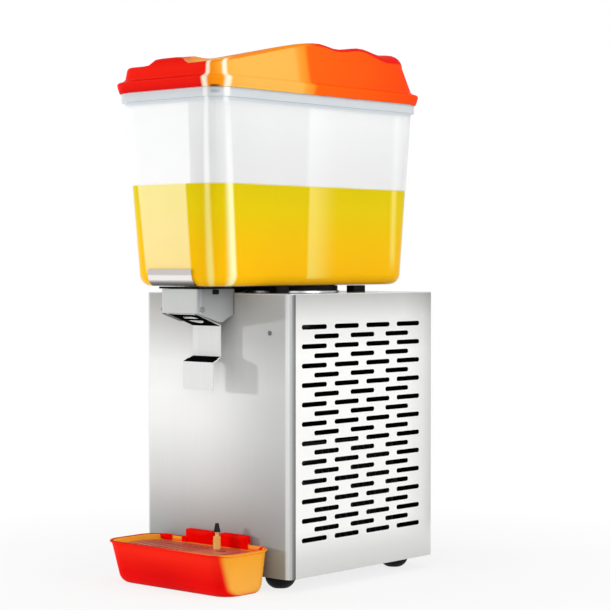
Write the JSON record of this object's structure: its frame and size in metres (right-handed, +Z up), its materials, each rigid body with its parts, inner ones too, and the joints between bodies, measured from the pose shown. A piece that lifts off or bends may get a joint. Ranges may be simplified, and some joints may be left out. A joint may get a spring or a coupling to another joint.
{
  "type": "juice dispenser",
  "caption": "Countertop juice dispenser with a clear lidded tank on a vented steel cabinet, a push-lever tap and a drip tray with grille and float.",
  "frame": {"origin": "on the floor under the middle of the whole outline", "axes": "+Z up, the front with the tap faces -Y, +X to the right seen from the front"},
  "size_m": [0.262, 0.4214, 0.7066],
  "materials": {
    "front_steel": "vertical brushed steel",
    "side_steel": "smooth pale coated sheet",
    "deck_steel": "satin sheet",
    "galvanised": "galvanised sheet",
    "rubber_black": "moulded rubber",
    "bright_steel": "polished steel",
    "lever_steel": "fine satin steel",
    "dome_steel": "drawn stainless steel",
    "stirrer_white": "moulded white plastic",
    "magnet_dark": "moulded plastic over magnets",
    "motor_dark": "stoved enamel",
    "compressor_black": "semi-gloss black enamel",
    "condenser_metal": "bare fins",
    "fan_black": "moulded plastic",
    "thermostat_cream": "moulded plastic",
    "knob_black": "fine satin plastic",
    "switch_black": "moulded plastic",
    "rocker_green": "gloss plastic",
    "rocker_red": "gloss plastic",
    "tank_clear": "clear moulded plastic",
    "trim_silver": "satin strip",
    "valve_white": "moulded plastic",
    "spring_steel": "spring wire",
    "lid_red": "translucent red-orange moulded plastic",
    "tray_red": "translucent red-orange moulded plastic",
    "grille_red": "moulded plastic",
    "float_amber": "translucent amber plastic",
    "float_black": "moulded plastic"
  },
  "bodies": {
    "chassis": {"base_pan": "galvanised", "feet": "rubber_black", "front_panel": "front_steel", "right_side_panel": "side_steel", "left_side_panel": "side_steel", "rear_panel": "deck_steel", "top_deck": "deck_steel", "panel_screws": "bright_steel", "tap_shroud": "front_steel", "tank_support_pads": "rubber_black", "evaporator_dome": "dome_steel", "stirrer_motor": "motor_dark", "compressor": "compressor_black", "compressor_mounts": "rubber_black", "condenser": "condenser_metal", "fan_bracket": "motor_dark", "fan_motor": "motor_dark", "thermostat": "thermostat_cream", "switch_housings": "switch_black", "cable_gland": "rubber_black", "lever_pin": "bright_steel"},
    "tank": {"tank": "tank_clear", "dome_gasket": "rubber_black", "tank_front_trim": "trim_silver", "valve_body": "valve_white", "valve_nut": "valve_white", "valve_o_ring": "rubber_black"},
    "lid": {"lid": "lid_red"},
    "plunger": {"valve_plunger": "bright_steel", "plunger_seal": "rubber_black", "plunger_spring": "spring_steel"},
    "lever": {"tap_lever": "lever_steel"},
    "drive_magnet": {"drive_magnet": "magnet_dark"},
    "stirrer": {"stirrer": "stirrer_white"},
    "fan": {"fan": "fan_black"},
    "cooling_rocker": {"cooling_rocker": "rocker_green"},
    "stirring_rocker": {"stirring_rocker": "rocker_red"},
    "thermostat_knob": {"thermostat_knob": "knob_black"},
    "drip_tray": {"drip_tray": "tray_red"},
    "drip_grille": {"drip_grille": "grille_red"},
    "float": {"float": "float_amber", "float_cap": "float_black"}
  },
  "joints": [
    {"name": "tank_lift", "type": "slide", "parent": "chassis", "child": "tank", "axis": [0, 0, 1], "range_m": [0, 0.14]},
    {"name": "lid_lift", "type": "slide", "parent": "tank", "child": "lid", "axis": [0, 0, 1], "range_m": [0, 0.08]},
    {"name": "lever_push", "type": "hinge", "parent": "chassis", "child": "lever", "pos_m": [0, -0.1693, 0.3585], "axis": [1, 0, 0], "range_deg": [0, 11.45], "stiffness_Nm_per_rad": 0.6},
    {"name": "plunger_lift", "type": "slide", "parent": "tank", "child": "plunger", "axis": [0, 0, 1], "range_m": [0, 0.0044], "deforming": ["plunger_spring"]},
    {"name": "drive_spin", "type": "hinge", "parent": "chassis", "child": "drive_magnet", "pos_m": [0, 0.0397, 0.45], "axis": [0, 0, 1], "continuous": true},
    {"name": "stirrer_spin", "type": "hinge", "parent": "chassis", "child": "stirrer", "pos_m": [0, 0.0397, 0.49], "axis": [0, 0, 1], "continuous": true},
    {"name": "fan_spin", "type": "hinge", "parent": "chassis", "child": "fan", "pos_m": [0, 0.0397, 0.0987], "axis": [1, 0, 0], "continuous": true},
    {"name": "cooling_switch", "type": "hinge", "parent": "chassis", "child": "cooling_rocker", "pos_m": [0.056, 0.1767, 0.3185], "axis": [-1, 0, 0], "range_deg": [0, 18]},
    {"name": "stirring_switch", "type": "hinge", "parent": "chassis", "child": "stirring_rocker", "pos_m": [-0.056, 0.1767, 0.3185], "axis": [-1, 0, 0], "range_deg": [0, 18]},
    {"name": "thermostat_turn", "type": "hinge", "parent": "chassis", "child": "thermostat_knob", "pos_m": [0, 0.1797, 0.3185], "axis": [0, 1, 0], "range_deg": [0, 270]},
    {"name": "tray_pull", "type": "slide", "parent": "chassis", "child": "drip_tray", "axis": [0, -1, 0], "range_m": [0, 0.15]},
    {"name": "grille_lift", "type": "slide", "parent": "drip_tray", "child": "drip_grille", "axis": [0, 0, 1], "range_m": [0, 0.05]},
    {"name": "float_rise", "type": "slide", "parent": "drip_tray", "child": "float", "axis": [0, 0, 1], "range_m": [0, 0.026]}
  ],
  "couplings": [
    {"joint": "plunger_lift", "follows": "lever_push", "m_per_rad": 0.0215},
    {"joint": "stirrer_spin", "follows": "drive_spin", "ratio": 1}
  ]
}
